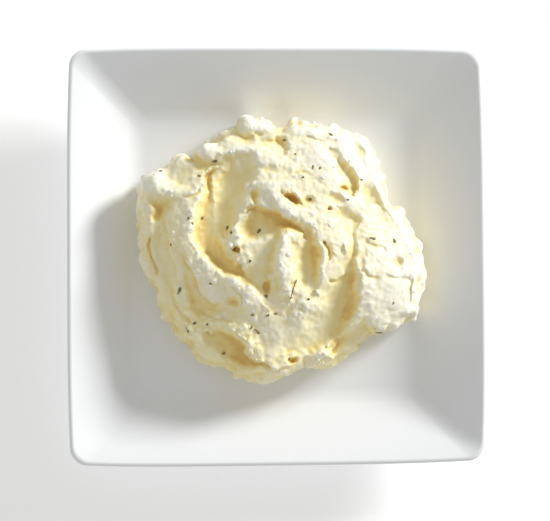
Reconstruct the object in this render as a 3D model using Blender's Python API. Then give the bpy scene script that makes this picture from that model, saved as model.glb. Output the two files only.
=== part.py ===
"""A square porcelain side plate with a swirled heap of mashed potato on it.

Run it with: blender --background --python part.py
The plate stands on z = 0 with its centre on the origin, and the sides of its rim run along X and Y.
"""

import math

import bmesh
import bpy
import numpy as np

MM = 0.001

# Plate: outer size over the rim, height over all, and the well that the food lies in.
PLATE_SIZE = 180 * MM
PLATE_HEIGHT = 22 * MM
FLOOR_TOP = 7.2 * MM
FLOOR_THICKNESS = 4.0 * MM
WELL_HALF = 61.5 * MM          # from the centre to where floor and wall would meet
WELL_FILLET = 17 * MM          # radius of the soft turn from floor to wall
WALL_THICKNESS = 3.6 * MM
LIP_RADIUS = 1.5 * MM
RIM_CORNER = 7.0 * MM          # corner radius at the rim
WELL_CORNER = 5.0 * MM         # corner radius at the floor
SIDE_BOW = 1.4 * MM            # how far the sides draw in from their middles to the corners
FOOT_HALF = 57 * MM
FOOT_WIDTH = 4.5 * MM
FOOT_CORNER = 9 * MM
CORNER_STEPS = 5
SIDE_STEPS = 4

# Mash: a heap that is wider above its foot than at it.
HEAP_CENTRE = (1.5 * MM, 3.0 * MM)
HEAP_HEIGHT = 33.5 * MM        # crown of the plain heap above the floor
SHOULDER_HEIGHT = 22.5 * MM    # where the top turns over into the side
DROOP = 1.7                    # how the top falls away from its crown: higher is flatter in the middle
GAP = 0.3 * MM                 # clearance between the mash and the glaze
GRID = 60                      # grid squares across the heap
TOP_SHARE = 0.70               # share of the grid's radius that makes the top
TOP_REACH = 0.88               # how far out the top reaches, as a share of the outline
TUCK_ANGLE = 118               # how far the side rolls in under itself, in degrees
UNDERSIDE_RING = 0.8           # inner ring of the underside, as a share of the foot

# Radius of the heap's outline about its centre every 12 degrees from +X, anticlockwise, in mm.
OUTLINE = (
    61.7, 57.3, 53.3, 54.4, 59.5, 60.4, 58.2, 55.5, 57.0, 58.6,
    56.6, 55.0, 62.2, 66.1, 64.0, 61.9, 60.3, 58.7, 59.1, 60.3,
    59.7, 59.0, 58.5, 53.5, 54.7, 55.9, 54.7, 60.5, 66.5, 63.9,
)

# Strokes of the spoon, in mm: (route, half width, depth, height of the lips it throws up).
TROUGHS = {
    "inner_swirl": (((-12, 36.5), (-22, 36), (-28, 32), (-30, 22), (-29, 10), (-26, 0), (-20, -6), (-11, -8)), 7.0, 5.0, 1.2),
    "outer_swirl": (((-41, 1), (-37, -8), (-34, -16), (-28, -21), (-21, -22)), 5.0, 4.0, 0.8),
    "right_sweep": (((29, -2), (31, -10), (31, -18), (27, -29), (18, -37), (8, -41)), 7.0, 5.0, 1.0),
    "crown_crescent": (((-14, 19), (-7, 18), (0, 15.5), (9, 10)), 5.0, 4.6, 0.8),
    "crown_step": (((2, 27), (8, 23.5), (13, 21.5)), 3.2, 2.6, 0.4),
    "spoon_scoop": (((14, 6), (13.5, 0), (14, -6), (16, -14)), 4.6, 4.4, 0.6),
    "top_dish": (((-24, 51), (-14, 51), (0, 46)), 4.5, 3.2, 0.8),
    "left_dish": (((-45, 34), (-38, 33), (-32, 36)), 6.0, 3.4, 1.0),
    "right_hollow": (((26, 43), (31, 35), (33, 28)), 3.4, 2.4, 0.4),
    "right_dish": (((38, 26), (41, 21), (45, 16)), 4.0, 2.6, 0.4),
    "right_pit": (((28, 17), (30, 13), (31.5, 9)), 3.4, 2.4, 0.3),
    "lower_cavity": (((-28, -34), (-21, -38), (-16, -41)), 5.5, 5.0, 0.8),
    "left_fold": (((-54, 11), (-54, 2), (-51, -10)), 3.0, 1.8, 0.3),
    "lower_layer": (((24, -41), (31, -37), (37, -33)), 4.0, 3.4, 0.3),
}

# Raised folds, in mm: (route, half width, height).
RIDGES = {
    "swirl_crest": (((-33, 30), (-37, 17), (-38.5, 7), (-34, -1), (-25, -8.5), (-14, -14), (-7, -20)), 4.0, 3.0),
    "arch": (((-16, 24), (-11, 31), (-2, 25), (9, 17), (18, 9.5), (20, 3)), 5.0, 3.4),
    "crown_block": (((7, 8), (2, 5), (1, -4), (3, -16)), 4.4, 3.6),
    "crown_rim": (((-23, 17), (-21, 4), (-17, -3)), 3.6, 1.8),
    "brow": (((-33, 47), (-24, 44), (-10, 41), (4, 37)), 4.4, 2.8),
    "left_band": (((-58, 29), (-46, 27.5), (-37, 26)), 3.4, 2.0),
    "scoop_fold": (((18, 7), (19.5, 1), (18.5, -7)), 3.0, 2.4),
    "right_edge": (((37, 10), (37.5, -6), (39, -22), (41.5, -29)), 4.4, 2.6),
    "cavity_lip": (((-28, -30), (-18.5, -32), (-12.5, -40)), 3.4, 2.2),
    "bottom_roll": (((-30, -44), (-8, -51), (10, -47)), 5.0, 1.8),
}

# Rounded lumps and dips, in mm: (x, y, radius along, radius across, turn in degrees, height).
LUMPS = {
    "knob": (-9.5, 57, 7, 6, 0, 6.0),
    "crater": (-10, 12.5, 8, 6.5, 20, -3.2),
    "notch": (-51, 20, 4, 3.5, 0, -3.6),
    "pit": (-5, -14, 3.5, 3.8, 0, -3.6),
    "upper_right": (18, 36, 26, 18, -35, 2.2),
    "right_lobe": (40, -12, 20, 22, 0, 2.2),
    "upper_left": (-51, 31, 12, 9, 10, 2.0),
}


def clear_scene():
    for obj in list(bpy.data.objects):
        bpy.data.objects.remove(obj)


def make_material(name, color, roughness):
    material = bpy.data.materials.new(name)
    material.use_nodes = True
    shader = material.node_tree.nodes["Principled BSDF"]
    shader.inputs["Base Color"].default_value = (*color, 1)
    shader.inputs["Roughness"].default_value = roughness
    shader.inputs["Metallic"].default_value = 0
    return material


def add_object(name, bm, material, collection, sharp_angle=math.radians(40)):
    bmesh.ops.recalc_face_normals(bm, faces=bm.faces)
    mesh = bpy.data.meshes.new(name)
    bm.to_mesh(mesh)
    bm.free()
    mesh.shade_smooth()
    mesh.set_sharp_from_angle(angle=sharp_angle)
    mesh.materials.append(material)
    obj = bpy.data.objects.new(name, mesh)
    collection.objects.link(obj)
    return obj


# ---- plate ----------------------------------------------------------------


def arc(centre, radius, start, end, steps):
    """Points (out, up) on an arc, with the angles in degrees from the outward axis."""
    points = []
    for i in range(steps + 1):
        angle = math.radians(start + (end - start) * i / steps)
        points.append((centre[0] + radius * math.cos(angle), centre[1] + radius * math.sin(angle)))
    return points


def wall_slope():
    """Slope of the plate's wall, in radians, from the well's edge up to the lip."""
    run = PLATE_SIZE / 2 - LIP_RADIUS - WELL_HALF
    rise = PLATE_HEIGHT - LIP_RADIUS - FLOOR_TOP
    return math.atan2(rise, run)


def plate_profile():
    """The plate's section at the middle of a side: (out, up) from the floor, over the lip, to the underside."""
    slope = wall_slope()
    degrees = math.degrees(slope)
    floor_bottom = FLOOR_TOP - FLOOR_THICKNESS
    start = WELL_HALF - WELL_FILLET * math.tan(slope / 2)
    turn = arc((start, FLOOR_TOP + WELL_FILLET), WELL_FILLET, -90, -90 + degrees, 5)
    lip_centre = (PLATE_SIZE / 2 - LIP_RADIUS, PLATE_HEIGHT - LIP_RADIUS)
    lip = arc(lip_centre, LIP_RADIUS, 90 + degrees, -70, 8)
    foot_top = (FOOT_HALF + 1.5 * MM, FLOOR_TOP - FLOOR_THICKNESS + 0.6 * MM)
    outside = [
        (WELL_HALF + WALL_THICKNESS, FLOOR_TOP - WALL_THICKNESS * math.cos(slope) + 0.6 * MM),
        foot_top,
    ]
    foot_inner = FOOT_HALF - FOOT_WIDTH
    foot = [
        (FOOT_HALF, 0.6 * MM),
        (FOOT_HALF - 0.6 * MM, 0.0),
        (foot_inner + 0.6 * MM, 0.0),
        (foot_inner, 0.6 * MM),
        (foot_inner - 1.0 * MM, floor_bottom),
    ]
    return turn + lip + outside + foot


def corner_radius(out):
    """Corner radius of the section that lies this far out, between the floor's and the rim's."""
    share = (out - WELL_HALF) / (PLATE_SIZE / 2 - WELL_HALF)
    if share < 0:
        return WELL_CORNER + (FOOT_CORNER - WELL_CORNER) * min(1, -share * 4)
    return WELL_CORNER + (RIM_CORNER - WELL_CORNER) * min(1, share)


def rounded_square(out, up):
    """Points round a square of half side out, with rounded corners and bowed sides, at height up."""
    radius = corner_radius(out)
    inner = out - radius
    draw = SIDE_BOW / (PLATE_SIZE / 2)
    points = []
    for quarter in range(4):
        turn = quarter * math.pi / 2
        side = []
        for i in range(SIDE_STEPS):
            side.append((out, -inner + 2 * inner * i / SIDE_STEPS))
        for i in range(CORNER_STEPS):
            angle = math.pi / 2 * i / CORNER_STEPS
            side.append((inner + radius * math.cos(angle), inner + radius * math.sin(angle)))
        for x, y in side:
            x, y = x * (1 - draw * (y / out) ** 4), y * (1 - draw * (x / out) ** 4)
            points.append((x * math.cos(turn) - y * math.sin(turn), x * math.sin(turn) + y * math.cos(turn), up))
    return points


def build_plate(collection):
    """Lofts rounded squares along the section, and closes the floor and the underside with one face each."""
    bm = bmesh.new()
    rings = []
    for out, up in plate_profile():
        rings.append([bm.verts.new(point) for point in rounded_square(out, up)])
    count = len(rings[0])
    for inner, outer in zip(rings, rings[1:]):
        for i in range(count):
            j = (i + 1) % count
            bm.faces.new((inner[i], inner[j], outer[j], outer[i]))
    bm.faces.new(rings[0])
    bm.faces.new(rings[-1])
    glaze = make_material("glazed_porcelain", (0.86, 0.86, 0.85), 0.12)
    return add_object("plate", bm, glaze, collection)


# ---- mash -----------------------------------------------------------------


def plate_top(x, y):
    """Height of the plate's inner face at each place along a side, for arrays x and y."""
    slope = wall_slope()
    out = np.maximum(np.abs(x), np.abs(y))
    start = WELL_HALF - WELL_FILLET * math.tan(slope / 2)
    end = start + WELL_FILLET * math.sin(slope)
    along = np.clip(out - start, 0, end - start)
    fillet = WELL_FILLET - np.sqrt(WELL_FILLET**2 - along**2)
    return FLOOR_TOP + fillet + np.maximum(0, out - end) * math.tan(slope)


def outline_radius(angle):
    """Radius of the heap's outline at these angles, smoothed between the given ones."""
    radii = np.array(OUTLINE) * MM
    place = np.mod(angle, 2 * math.pi) / (2 * math.pi) * len(radii)
    low = np.floor(place).astype(int)
    share = place - low
    before, first, second, after = (radii[(low + k) % len(radii)] for k in (-1, 0, 1, 2))
    return catmull_rom(before, first, second, after, share)


def catmull_rom(a, b, c, d, t):
    """The smooth curve through b and c at share t."""
    return b + 0.5 * t * (c - a + t * (2 * a - 5 * b + 4 * c - d + t * (3 * (b - c) + d - a)))


def smooth_route(points, steps=10):
    """A dense, smooth line through the route's points, given in mm and returned in metres."""
    points = np.array(points, float) * MM
    padded = np.vstack([2 * points[0] - points[1], points, 2 * points[-1] - points[-2]])
    line = []
    for i in range(len(points) - 1):
        for k in range(steps):
            line.append(catmull_rom(*padded[i:i + 4], k / steps))
    line.append(points[-1])
    return np.array(line)


def measure_to_route(x, y, line):
    """Each point's distance to a line, and how far along it that lies, from 0 to 1."""
    distance = np.full(x.shape, 1e9)
    along = np.zeros(x.shape)
    for i in range(len(line) - 1):
        a, b = line[i], line[i + 1]
        step = b - a
        t = np.clip(((x - a[0]) * step[0] + (y - a[1]) * step[1]) / (step @ step), 0, 1)
        d = np.hypot(x - a[0] - t * step[0], y - a[1] - t * step[1])
        nearer = d < distance
        distance = np.where(nearer, d, distance)
        along = np.where(nearer, (i + t) / (len(line) - 1), along)
    return distance, along


def fade_ends(along, share=0.18):
    """1 along a stroke, falling to 0 at its two ends."""
    t = np.clip(np.minimum(along, 1 - along) / share, 0, 1)
    return 0.25 + 0.75 * t * t * (3 - 2 * t)


def trough(x, y, route, half_width, depth, lip):
    distance, along = measure_to_route(x, y, smooth_route(route))
    width = half_width * MM
    groove = -depth * np.exp(-(distance / (0.72 * width)) ** 2 * 0.9)
    rim = lip * np.exp(-(((distance - 1.25 * width) / (0.4 * width)) ** 2))
    return (groove + rim) * MM * fade_ends(along)


def ridge(x, y, route, half_width, height):
    distance, along = measure_to_route(x, y, smooth_route(route))
    return height * MM * np.exp(-(distance / (half_width * MM)) ** 2) * fade_ends(along)


def lump(x, y, centre_x, centre_y, radius_a, radius_b, turn, height):
    angle = math.radians(turn)
    dx, dy = x - centre_x * MM, y - centre_y * MM
    a = (dx * math.cos(angle) + dy * math.sin(angle)) / (radius_a * MM)
    b = (-dx * math.sin(angle) + dy * math.cos(angle)) / (radius_b * MM)
    return height * MM * np.exp(-((a * a + b * b) ** 1.3))


def spoon_work(x, y):
    """Height that the strokes, folds and lumps add to the plain heap at each place."""
    height = np.zeros(x.shape)
    for stroke in TROUGHS.values():
        height += trough(x, y, *stroke)
    for fold in RIDGES.values():
        height += ridge(x, y, *fold)
    for bump in LUMPS.values():
        height += lump(x, y, *bump)
    return height


def grid_to_disc(u, v):
    """A square from -1 to 1 drawn in to the unit disc."""
    return u * np.sqrt(1 - v * v / 2), v * np.sqrt(1 - u * u / 2)


def heap_surface(u, v):
    """Places of the grid's points on the heap, from its crown down to its foot."""
    a, b = grid_to_disc(u, v)
    share = np.minimum(1, np.hypot(a, b))
    angle = np.arctan2(b, a)
    side = np.clip((share - TOP_SHARE) / (1 - TOP_SHARE), 0, 1)
    tuck = math.radians(TUCK_ANGLE)
    reach = np.minimum(share / TOP_SHARE, 1) * TOP_REACH + (1 - TOP_REACH) * np.sin(side * tuck)
    fall = (np.cos(side * tuck) - math.cos(tuck)) / (1 - math.cos(tuck))
    radius = outline_radius(angle) * reach
    x = HEAP_CENTRE[0] + radius * np.cos(angle)
    y = HEAP_CENTRE[1] + radius * np.sin(angle)
    drop = (HEAP_HEIGHT - SHOULDER_HEIGHT) * np.minimum(share / TOP_SHARE, 1) ** DROOP
    top = FLOOR_TOP + HEAP_HEIGHT - drop + spoon_work(x, y)
    foot = plate_top(x, y) + GAP
    return x, y, foot + (top - foot) * fall


def build_mash(collection):
    """A grid drawn out to the heap's outline and raised to its surface, closed by a flat underside."""
    bm = bmesh.new()
    bmesh.ops.create_grid(bm, x_segments=GRID, y_segments=GRID, size=1)
    bm.verts.ensure_lookup_table()
    uv = np.array([vert.co[:2] for vert in bm.verts])
    for vert, place in zip(bm.verts, np.stack(heap_surface(uv[:, 0], uv[:, 1]), axis=1)):
        vert.co = place
    foot_edges = [edge for edge in bm.edges if edge.is_boundary]
    underside = bmesh.ops.extrude_edge_only(bm, edges=foot_edges)["geom"]
    for vert in [item for item in underside if isinstance(item, bmesh.types.BMVert)]:
        vert.co.x = HEAP_CENTRE[0] + (vert.co.x - HEAP_CENTRE[0]) * UNDERSIDE_RING
        vert.co.y = HEAP_CENTRE[1] + (vert.co.y - HEAP_CENTRE[1]) * UNDERSIDE_RING
        vert.co.z = FLOOR_TOP + GAP
    bmesh.ops.holes_fill(bm, edges=[edge for edge in bm.edges if edge.is_boundary])
    potato = make_material("mashed_potato", (0.90, 0.82, 0.58), 0.5)
    return add_object("mash", bm, potato, collection, sharp_angle=math.radians(75))


def main():
    clear_scene()
    collection = bpy.data.collections.new("mashed_potato_side")
    bpy.context.scene.collection.children.link(collection)
    build_plate(collection)
    build_mash(collection)


main()
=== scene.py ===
# Looks for the mashed potato side: a white square plate, the swirled heap, its crumbs and herb flecks.
# Lengths in the dictionaries are millimetres, measured from the middle of the plate.
import math

import bmesh
import bpy
import numpy as np
from mathutils import Euler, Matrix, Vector, noise
from mathutils.bvhtree import BVHTree


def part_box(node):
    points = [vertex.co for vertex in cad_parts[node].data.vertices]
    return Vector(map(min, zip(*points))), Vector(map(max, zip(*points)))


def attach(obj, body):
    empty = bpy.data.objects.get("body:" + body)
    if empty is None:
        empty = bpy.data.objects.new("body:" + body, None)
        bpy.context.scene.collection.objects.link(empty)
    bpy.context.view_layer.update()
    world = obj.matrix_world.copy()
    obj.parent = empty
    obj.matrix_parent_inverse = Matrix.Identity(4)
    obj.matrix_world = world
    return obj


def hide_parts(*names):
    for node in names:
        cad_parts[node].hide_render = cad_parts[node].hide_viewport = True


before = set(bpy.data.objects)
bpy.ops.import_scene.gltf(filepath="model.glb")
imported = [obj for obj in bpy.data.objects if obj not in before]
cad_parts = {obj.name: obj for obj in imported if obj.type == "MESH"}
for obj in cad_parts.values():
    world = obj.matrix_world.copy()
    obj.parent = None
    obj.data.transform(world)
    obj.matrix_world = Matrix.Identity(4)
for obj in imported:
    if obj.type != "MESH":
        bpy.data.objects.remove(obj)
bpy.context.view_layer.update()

mm = 0.001
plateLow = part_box("plate")[0]


def report(stage):
    print("mash side:", stage)


def addMesh(name, verts, faces, smooth=True):
    mesh = bpy.data.meshes.new(name)
    mesh.from_pydata([tuple(v) for v in verts], [], [tuple(f) for f in faces])
    mesh.update()
    if smooth:
        mesh.shade_smooth()
    piece = bpy.data.objects.new(name, mesh)
    bpy.context.scene.collection.objects.link(piece)
    return piece


def keepShade(piece, values):
    # painted shade for the finish to read, rising with how deep each point lies
    layer = piece.data.attributes.new("shade", "FLOAT", "POINT")
    layer.data.foreach_set("value", values.astype(np.float32))


def linear(red, green, blue):
    # a colour picked on screen, 0 to 255, turned to the shader's linear values
    def turn(value):
        value = value / 255
        return value / 12.92 if value <= 0.04045 else ((value + 0.055) / 1.055) ** 2.4
    return (turn(red), turn(green), turn(blue), 1)


def smoothStep(low, high, value):
    t = np.clip((value - low) / (high - low), 0, 1)
    return t * t * (3 - 2 * t)


def softMax(a, b, blend):
    h = np.clip(0.5 + 0.5 * (a - b) / blend, 0, 1)
    return b + (a - b) * h + blend * h * (1 - h)


def softMin(a, b, blend):
    return -softMax(-a, -b, blend)


def curvePoint(a, b, c, d, t):
    return b + 0.5 * t * (c - a + t * (2 * a - 5 * b + 4 * c - d + t * (3 * (b - c) + d - a)))


def smoothRoute(points, steps=6):
    # a dense smooth line through given points; further columns, such as height, ride along
    points = np.array(points, float)
    padded = np.vstack([2 * points[0] - points[1], points, 2 * points[-1] - points[-2]])
    line = [curvePoint(*padded[i:i + 4], k / steps) for i in range(len(points) - 1) for k in range(steps)]
    return np.array(line + [points[-1]])


def noiseAt(points, size, seed, octaves=1):
    # soft noise from -1 to 1 at each point, with lumps about as wide as size
    shift = Vector((seed * 17.3, seed * 5.1, seed * 9.7))
    values = np.empty(len(points))
    for i, p in enumerate((points / size).tolist()):
        place = Vector(p) + shift
        values[i] = noise.fractal(place, 0.6, 2.1, octaves) if octaves > 1 else noise.noise(place)
    return values * 1.6


def curdsAt(points, size, seed):
    # rounded cells: 1 in the middle of a curd, 0 in the seams between them
    shift = Vector((seed * 11.9, seed * 3.3, seed * 7.1))
    values = np.empty(len(points))
    for i, p in enumerate((points / size).tolist()):
        near = noise.voronoi(Vector(p) + shift)[0]
        values[i] = min(1.0, (near[1] - near[0]) * 2.2) * (1.1 - 0.6 * near[0])
    return values


plateShape = {
    "size": 180.0, "height": 22.0, "floorTop": 7.2, "floorThickness": 4.0,
    "wellHalf": 61.5, "wellFillet": 17.0, "wallThickness": 3.6, "lipRadius": 1.5,
    "rimCorner": 7.0, "wellCorner": 5.0, "footHalf": 57.0, "footWidth": 4.5, "footCorner": 9.0,
    "bow": 1.4,             # how far the sides draw in towards the corners
    "cornerSteps": 14, "sideSteps": 20,
}


def wallSlope(p):
    return math.atan2(p["height"] - p["lipRadius"] - p["floorTop"],
                      p["size"] / 2 - p["lipRadius"] - p["wellHalf"])


def arc(centre, radius, start, end, steps):
    angles = np.radians(np.linspace(start, end, steps + 1))
    return [(centre[0] + radius * math.cos(a), centre[1] + radius * math.sin(a)) for a in angles]


def plateSection(p):
    # (out, up) from the middle of the well over the lip to the middle of the underside
    slope = wallSlope(p)
    start = p["wellHalf"] - p["wellFillet"] * math.tan(slope / 2)
    inside = [(8.0, p["floorTop"]), (30.0, p["floorTop"]), (start - 6, p["floorTop"])]
    turn = arc((start, p["floorTop"] + p["wellFillet"]), p["wellFillet"], -90, -90 + math.degrees(slope),
               12)
    wallEnd = (p["size"] / 2 - p["lipRadius"], p["height"] - p["lipRadius"])
    lip = arc(wallEnd, p["lipRadius"], 90 + math.degrees(slope), -70, 18)
    wall = [tuple(np.array(turn[-1]) * (1 - t) + np.array(lip[0]) * t) for t in (0.33, 0.66)]
    under = p["floorTop"] - p["floorThickness"]
    outside = [
        (p["wellHalf"] + p["wallThickness"], p["floorTop"] - p["wallThickness"] * math.cos(slope) + 0.6),
        (p["footHalf"] + 1.5, under + 0.6),
    ]
    inner = p["footHalf"] - p["footWidth"]
    foot = [
        (p["footHalf"], 0.6), (p["footHalf"] - 0.2, 0.2), (p["footHalf"] - 0.6, 0.0),
        (inner + 0.6, 0.0), (inner + 0.2, 0.2), (inner, 0.6), (inner - 1.0, under), (30.0, under),
        (8.0, under),
    ]
    return inside + turn + wall + lip + outside + foot


def roundedSquare(p, out, up):
    share = (out - p["wellHalf"]) / (p["size"] / 2 - p["wellHalf"])
    if share < 0:
        radius = p["wellCorner"] + (p["footCorner"] - p["wellCorner"]) * min(1, -share * 4)
    else:
        radius = p["wellCorner"] + (p["rimCorner"] - p["wellCorner"]) * min(1, share)
    radius = min(radius, out * 0.6)
    inner = out - radius
    draw = p["bow"] / (p["size"] / 2)
    ring = []
    for quarter in range(4):
        turn = quarter * math.pi / 2
        side = [(out, -inner + 2 * inner * i / p["sideSteps"]) for i in range(p["sideSteps"])]
        for i in range(p["cornerSteps"]):
            a = math.pi / 2 * i / p["cornerSteps"]
            side.append((inner + radius * math.cos(a), inner + radius * math.sin(a)))
        for x, y in side:
            x, y = x * (1 - draw * (y / out) ** 4), y * (1 - draw * (x / out) ** 4)
            ring.append((x * math.cos(turn) - y * math.sin(turn), x * math.sin(turn) + y * math.cos(turn),
                         up))
    return ring


def makePlate(p):
    section = plateSection(p)
    verts = [v for out, up in section for v in roundedSquare(p, out, up)]
    count = 4 * (p["sideSteps"] + p["cornerSteps"])
    faces = []
    for r in range(len(section) - 1):
        for i in range(count):
            j = (i + 1) % count
            faces.append((r * count + i, r * count + j, (r + 1) * count + j, (r + 1) * count + i))
    last = (len(section) - 1) * count
    faces.append([i for i in range(count)][::-1])
    faces.append([last + i for i in range(count)])
    verts = np.array(verts) * mm
    piece = addMesh("square_plate", verts, faces)
    bm = bmesh.new()
    bm.from_mesh(piece.data)
    bmesh.ops.recalc_face_normals(bm, faces=bm.faces)
    bm.to_mesh(piece.data)
    bm.free()
    piece.data.shade_smooth()
    piece.data.set_sharp_from_angle(angle=math.radians(50))
    return piece


def plateTop(p, x, y):
    # height of the glaze along a side at each place, in mm
    slope = wallSlope(p)
    out = np.maximum(np.abs(x), np.abs(y))
    start = p["wellHalf"] - p["wellFillet"] * math.tan(slope / 2)
    end = start + p["wellFillet"] * math.sin(slope)
    along = np.clip(out - start, 0, end - start)
    fillet = p["wellFillet"] - np.sqrt(p["wellFillet"] ** 2 - along ** 2)
    return p["floorTop"] + fillet + np.maximum(0, out - end) * math.tan(slope)


heapShape = {
    "centre": (1.5, 3.0),
    "crown": 33.5,          # middle of the plain heap above the floor of the well
    "shoulder": 22.5,       # where the top turns over into the side
    "droop": 1.7,           # more keeps the top flatter before it falls
    "grid": 309,            # squares across the mesh
    "topShare": 0.74,       # share of the mesh that makes the top
    "topReach": 0.87,       # how far out the top reaches, as a share of the outline
    "drawnIn": 0.98,        # share of the seen outline, as the side swells
    "tuck": 122,            # degrees that the side rolls round under itself
    "wobble": (0.8, 6.0, 0.35, 2.2),    # how far strokes stray and over what width, broad then fine
    "seenFrom": (-26.5, -16.9, 568.0),  # the eye that the strokes are placed from
    "outline": (            # the edge from the right-hand side, anticlockwise
        (63.5, 0), (63, 5), (60, 10), (56, 16), (54, 20), (50, 22), (49, 26), (48, 30), (45, 37), (44, 42),
        (42, 47), (40, 50.5), (35, 53.5), (30, 55), (26, 56.5), (22, 56.5), (18, 58), (12, 59), (9, 58),
        (7.5, 59), (5, 57), (2, 55), (-1, 55), (-3, 58.5), (-6, 60.5), (-12, 62), (-14.5, 62), (-16, 60),
        (-17, 57), (-20, 56), (-24, 54), (-27, 51.5), (-31, 50), (-33.7, 47.5), (-36, 43), (-38, 41.5),
        (-40.5, 43), (-43, 43.5), (-46, 42.5), (-52, 37.5), (-56, 37), (-58, 35), (-60, 31), (-61, 27),
        (-61.5, 15), (-61, 3), (-59.5, -4), (-57.5, -11), (-53.5, -15), (-52, -20), (-48.5, -27),
        (-44.5, -34),
        (-43, -37.5), (-40, -39.5), (-37.5, -43), (-34, -45.5), (-30, -48), (-25, -49.5), (-21, -51),
        (-19.5, -53), (-15, -53.5), (-11, -55), (-7, -55.5), (0, -55), (5, -53), (9, -50), (11, -48),
        (17, -49.5), (22, -49), (26, -46.5), (30, -44), (34, -41.5), (37, -38.5), (43, -35), (47, -35),
        (50, -33.5), (54, -31.5), (57, -29.5), (61.5, -28.5), (62.5, -20), (64.2, -12),
    ),
}

# Every stroke is placed as it is seen from above in the plane of the rim; its height is measured from
# the plain heap, mm above it, or below where negative.
# A route's points are (x, y, height). left and right are the half widths on each side of the run,
# rise is how far the stroke climbs or falls over that half width.
lumps = [
    # x, y, long radius, short radius, turn, height, steepness, torn
    (18, 36, 34, 24, -35, 2.6, 3.0, 0.25),
    (38, -12, 26, 26, 0, 2.6, 3.0, 0.25),
    (-50, 31, 13, 9, 10, 2.4, 3.0, 0.4),
    (-4, -48, 24, 9, 0, 1.0, 3.0, 0.25),
    (12, -22, 12, 10, 20, 1.6, 2.5, 0.8),
    (-10, -21, 9, 7, -40, 1.8, 3.0, 0.8),
    (27, 2, 8, 14, 0, 2.0, 3.0, 0.4),
    (12, 37, 16, 10, -10, 1.6, 2.5, 0.4),
    (-35, -33, 9, 7, -40, 1.0, 2.5, 0.9),
    (-18.5, 9, 7, 9, 10, 0.6, 2.0, 0.9),
    (3, 14, 22, 26, -20, 1.8, 2.6, 0.3),
    (-5, 31, 9, 10, 0, 2.2, 2.6, 0.4),
]
paintedLightAndShade = [
    # painted shade +, painted light -: yellower on the shaded side, paler on the lit side: x, y, long
    # radius, short radius, turn, amount
    (30, 40, 30, 18, -35, -0.09),
    (48, -14, 17, 24, 0, -0.09),
    (-9, 58, 9, 6, 0, -0.12),
    (-52, 33, 10, 7, 0, -0.12),
    (2, 10, 14, 22, 0, -0.04),
    (-20, 43, 18, 5, -15, -0.06),
    (-50, 0, 12, 32, 8, 0.12),
    (-28, -38, 26, 16, -35, 0.14),
    (-27, 18, 8, 24, 0, 0.06),
    (28, -22, 7, 20, -20, 0.12),
    (2, -50, 30, 8, 5, 0.1),
    (32, -40, 14, 8, 30, 0.12),
]
bulges = [
    # round parts pushed out of the edge: x, y, height, radius
    (-11.6, 53.6, 17.5, 5.6),
    (-6.8, 53.2, 17.0, 5.2),
    (-29.0, 43.2, 20.5, 4.6),
    (-50.5, 29.0, 14.0, 8.5),
    (24.5, 42.0, 14.0, 11.0),
    (49.0, -20.0, 13.0, 10.0),
    (-8.0, -45.0, 12.0, 8.5),
]
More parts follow.
